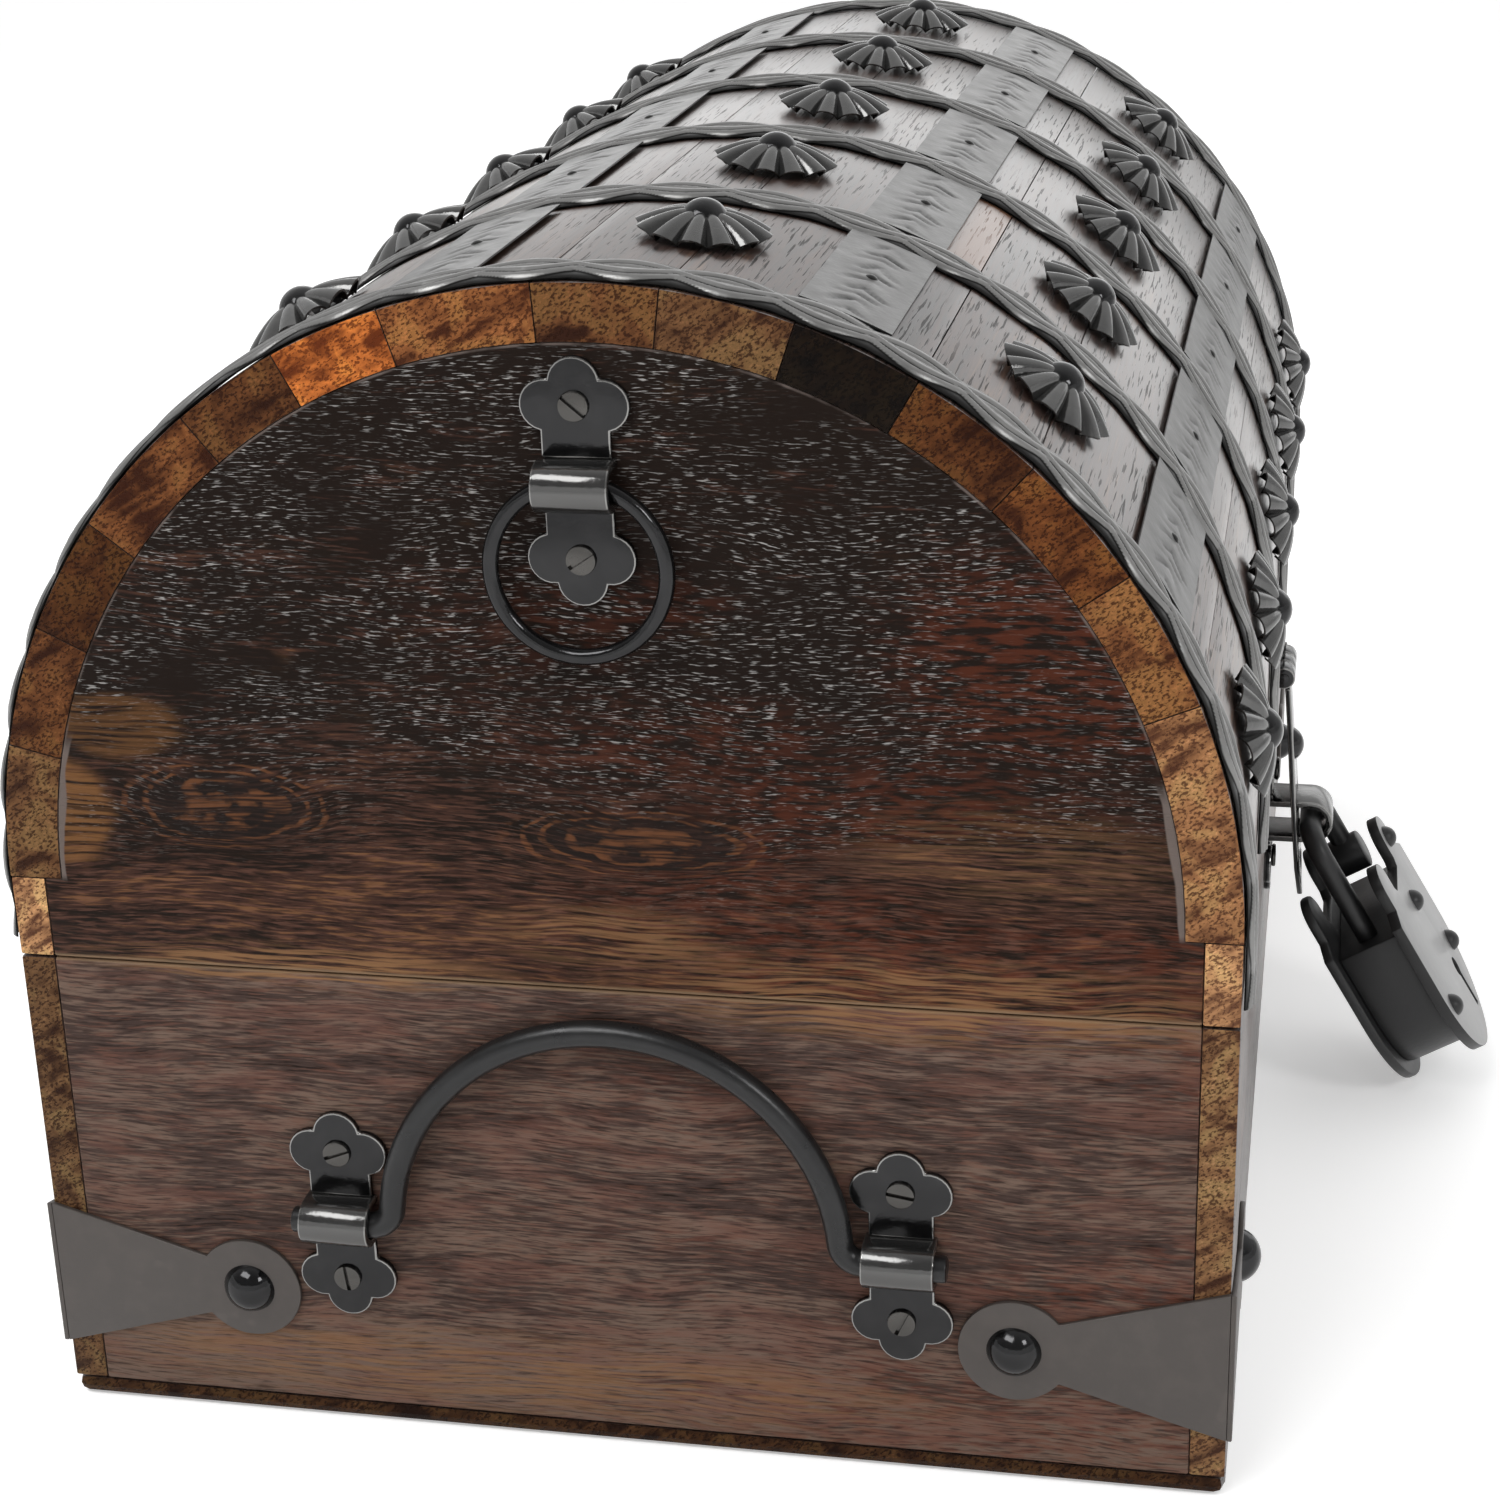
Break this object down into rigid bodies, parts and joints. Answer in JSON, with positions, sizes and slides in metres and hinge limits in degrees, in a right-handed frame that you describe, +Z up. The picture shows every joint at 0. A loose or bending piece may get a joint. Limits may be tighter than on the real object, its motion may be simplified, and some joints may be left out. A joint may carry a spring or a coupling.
{
  "type": "coffer chest",
  "caption": "Table-top coffer chest with a stave-built half-round lid, metal straps and fluted rosettes, carrying handles, ring pulls, a hasp and a hanging padlock.",
  "frame": {"origin": "middle of the chest's underside, on the floor", "axes": "+X along the chest's length, -Y out of the locked front, +Z up"},
  "size_m": [0.444, 0.3398, 0.2773],
  "materials": {
    "board_wood": "oiled dark hardwood",
    "end_wood": "oiled dark hardwood with open pores",
    "stave_wood": "glossy dark hardwood",
    "rail_wood": "oiled hardwood",
    "embossed_metal": "embossed, dark patina",
    "rosette_metal": "pressed, dark patina",
    "bracket_metal": "satin",
    "nail_metal": "polished dark",
    "black_iron": "satin black",
    "padlock_grey": "satin"
  },
  "bodies": {
    "base": {"bail_straps_left": "black_iron", "bail_straps_right": "black_iron", "base_back": "board_wood", "base_bottom": "board_wood", "base_end_left": "end_wood", "base_end_right": "end_wood", "base_front": "board_wood", "base_screws": "black_iron", "bracket_nails": "nail_metal", "corner_bracket_back_left": "bracket_metal", "corner_bracket_back_right": "bracket_metal", "corner_bracket_front_left": "bracket_metal", "corner_bracket_front_right": "bracket_metal", "hasp_staple": "black_iron", "hinge_base_leaves": "black_iron", "hinge_pins": "black_iron"},
    "lid": {"lid_bands": "embossed_metal", "lid_end_left": "end_wood", "lid_end_right": "end_wood", "lid_rail_back": "rail_wood", "lid_rail_front": "rail_wood", "lid_screws": "black_iron", "lid_stave_01": "stave_wood", "lid_stave_02": "stave_wood", "lid_stave_03": "stave_wood", "lid_stave_04": "stave_wood", "lid_stave_05": "stave_wood", "lid_stave_06": "stave_wood", "lid_stave_07": "stave_wood", "lid_stave_08": "stave_wood", "lid_stave_09": "stave_wood", "lid_stave_10": "stave_wood", "lid_stave_11": "stave_wood", "lid_stave_12": "stave_wood", "lid_stave_13": "stave_wood", "lid_stave_14": "stave_wood", "lid_strap_1": "embossed_metal", "lid_strap_2": "embossed_metal", "lid_strap_3": "embossed_metal", "lid_strap_4": "embossed_metal", "lid_strap_5": "embossed_metal", "lid_strap_6": "embossed_metal", "rosettes": "rosette_metal", "rosette_nails": "nail_metal", "ring_strap_left": "black_iron", "ring_strap_right": "black_iron", "hinge_lid_leaves": "black_iron", "hasp_plate": "black_iron", "hasp_pin": "black_iron"},
    "hasp": {"hasp_leaf": "black_iron", "hasp_boss": "black_iron"},
    "padlock_shackle": {"padlock_shackle": "black_iron"},
    "padlock_case": {"padlock_case": "black_iron", "padlock_plates": "padlock_grey", "padlock_rivets": "black_iron"},
    "bail_left": {"bail_left": "black_iron"},
    "bail_right": {"bail_right": "black_iron"},
    "ring_left": {"ring_left": "black_iron"},
    "ring_right": {"ring_right": "black_iron"}
  },
  "joints": [
    {"name": "lid_hinge", "type": "hinge", "parent": "base", "child": "lid", "pos_m": [0, 0.1383, 0.1152], "axis": [-1, 0, 0], "range_deg": [0, 105]},
    {"name": "hasp_swing", "type": "hinge", "parent": "lid", "child": "hasp", "pos_m": [0, -0.1383, 0.1194], "axis": [-1, 0, 0], "range_deg": [0, 150]},
    {"name": "padlock_swing", "type": "hinge", "parent": "base", "child": "padlock_shackle", "pos_m": [0, -0.14706, 0.0765], "axis": [-1, 0, 0], "range_deg": [0, 45]},
    {"name": "padlock_open", "type": "hinge", "parent": "padlock_shackle", "child": "padlock_case", "pos_m": [0.017, -0.15823, 0.05754], "axis": [0, -0.8616, 0.5075], "range_deg": [0, 60]},
    {"name": "bail_left_swing", "type": "hinge", "parent": "base", "child": "bail_left", "pos_m": [-0.2168, 0, 0.0555], "axis": [0, -1, 0], "range_deg": [0, 180]},
    {"name": "bail_right_swing", "type": "hinge", "parent": "base", "child": "bail_right", "pos_m": [0.2168, 0, 0.0555], "axis": [0, 1, 0], "range_deg": [0, 180]},
    {"name": "ring_left_swing", "type": "hinge", "parent": "lid", "child": "ring_left", "pos_m": [-0.2168, 0, 0.229], "axis": [0, 1, 0], "range_deg": [0, 165]},
    {"name": "ring_right_swing", "type": "hinge", "parent": "lid", "child": "ring_right", "pos_m": [0.2168, 0, 0.229], "axis": [0, -1, 0], "range_deg": [0, 165]}
  ]
}
